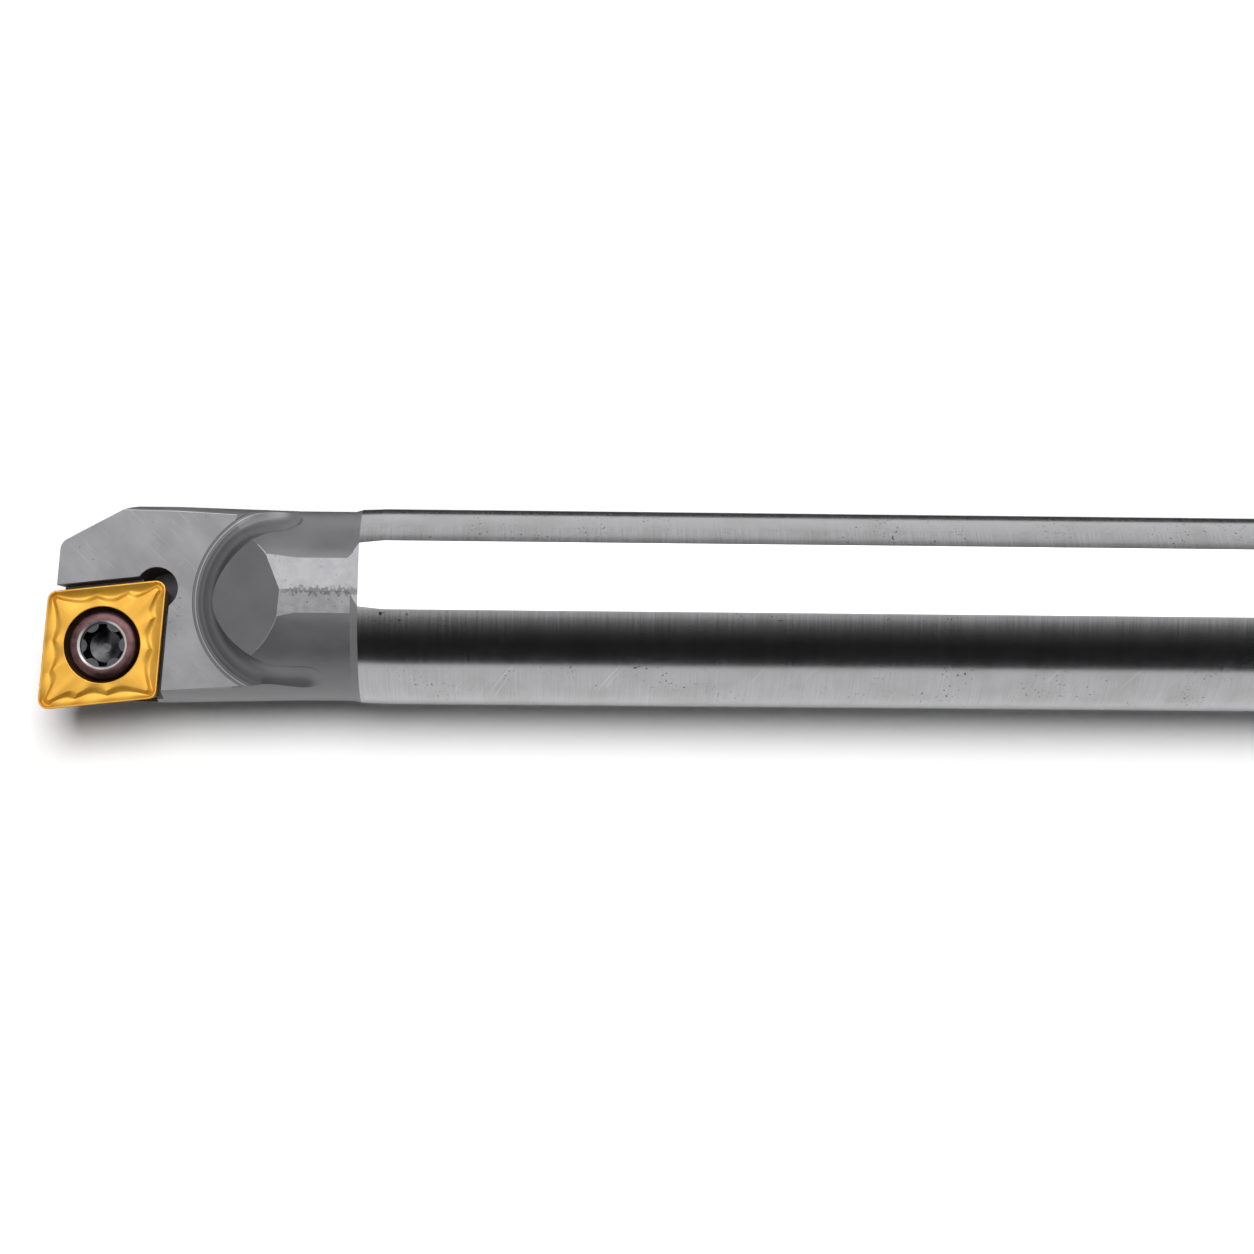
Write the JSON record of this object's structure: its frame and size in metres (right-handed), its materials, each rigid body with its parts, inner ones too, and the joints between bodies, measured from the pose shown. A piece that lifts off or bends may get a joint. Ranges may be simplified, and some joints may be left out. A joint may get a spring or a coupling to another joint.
{
  "type": "boring bar",
  "caption": "Right-hand boring bar for a lathe: round steel shank with flats, slim neck, and a tilted head with chip gullet and a screwed-on rhombic insert.",
  "frame": {"origin": "centre of the rear end face, on the shank's axis", "axes": "+X along the shank out of the rear end, so the head points to -X; the cutting corner is on the -Y side at the height of the axis; +Z out of the top flat"},
  "size_m": [0.18, 0.0171, 0.015],
  "materials": {
    "tool_steel": "ground on the shank, matt grey on neck and head",
    "coated_carbide": "gold coloured vapour coating",
    "screw_steel": "bronze brown, worn bright round the socket"
  },
  "bodies": {
    "root": {"bar_body": "tool_steel", "insert": "coated_carbide", "insert_screw": "screw_steel"}
  },
  "joints": []
}
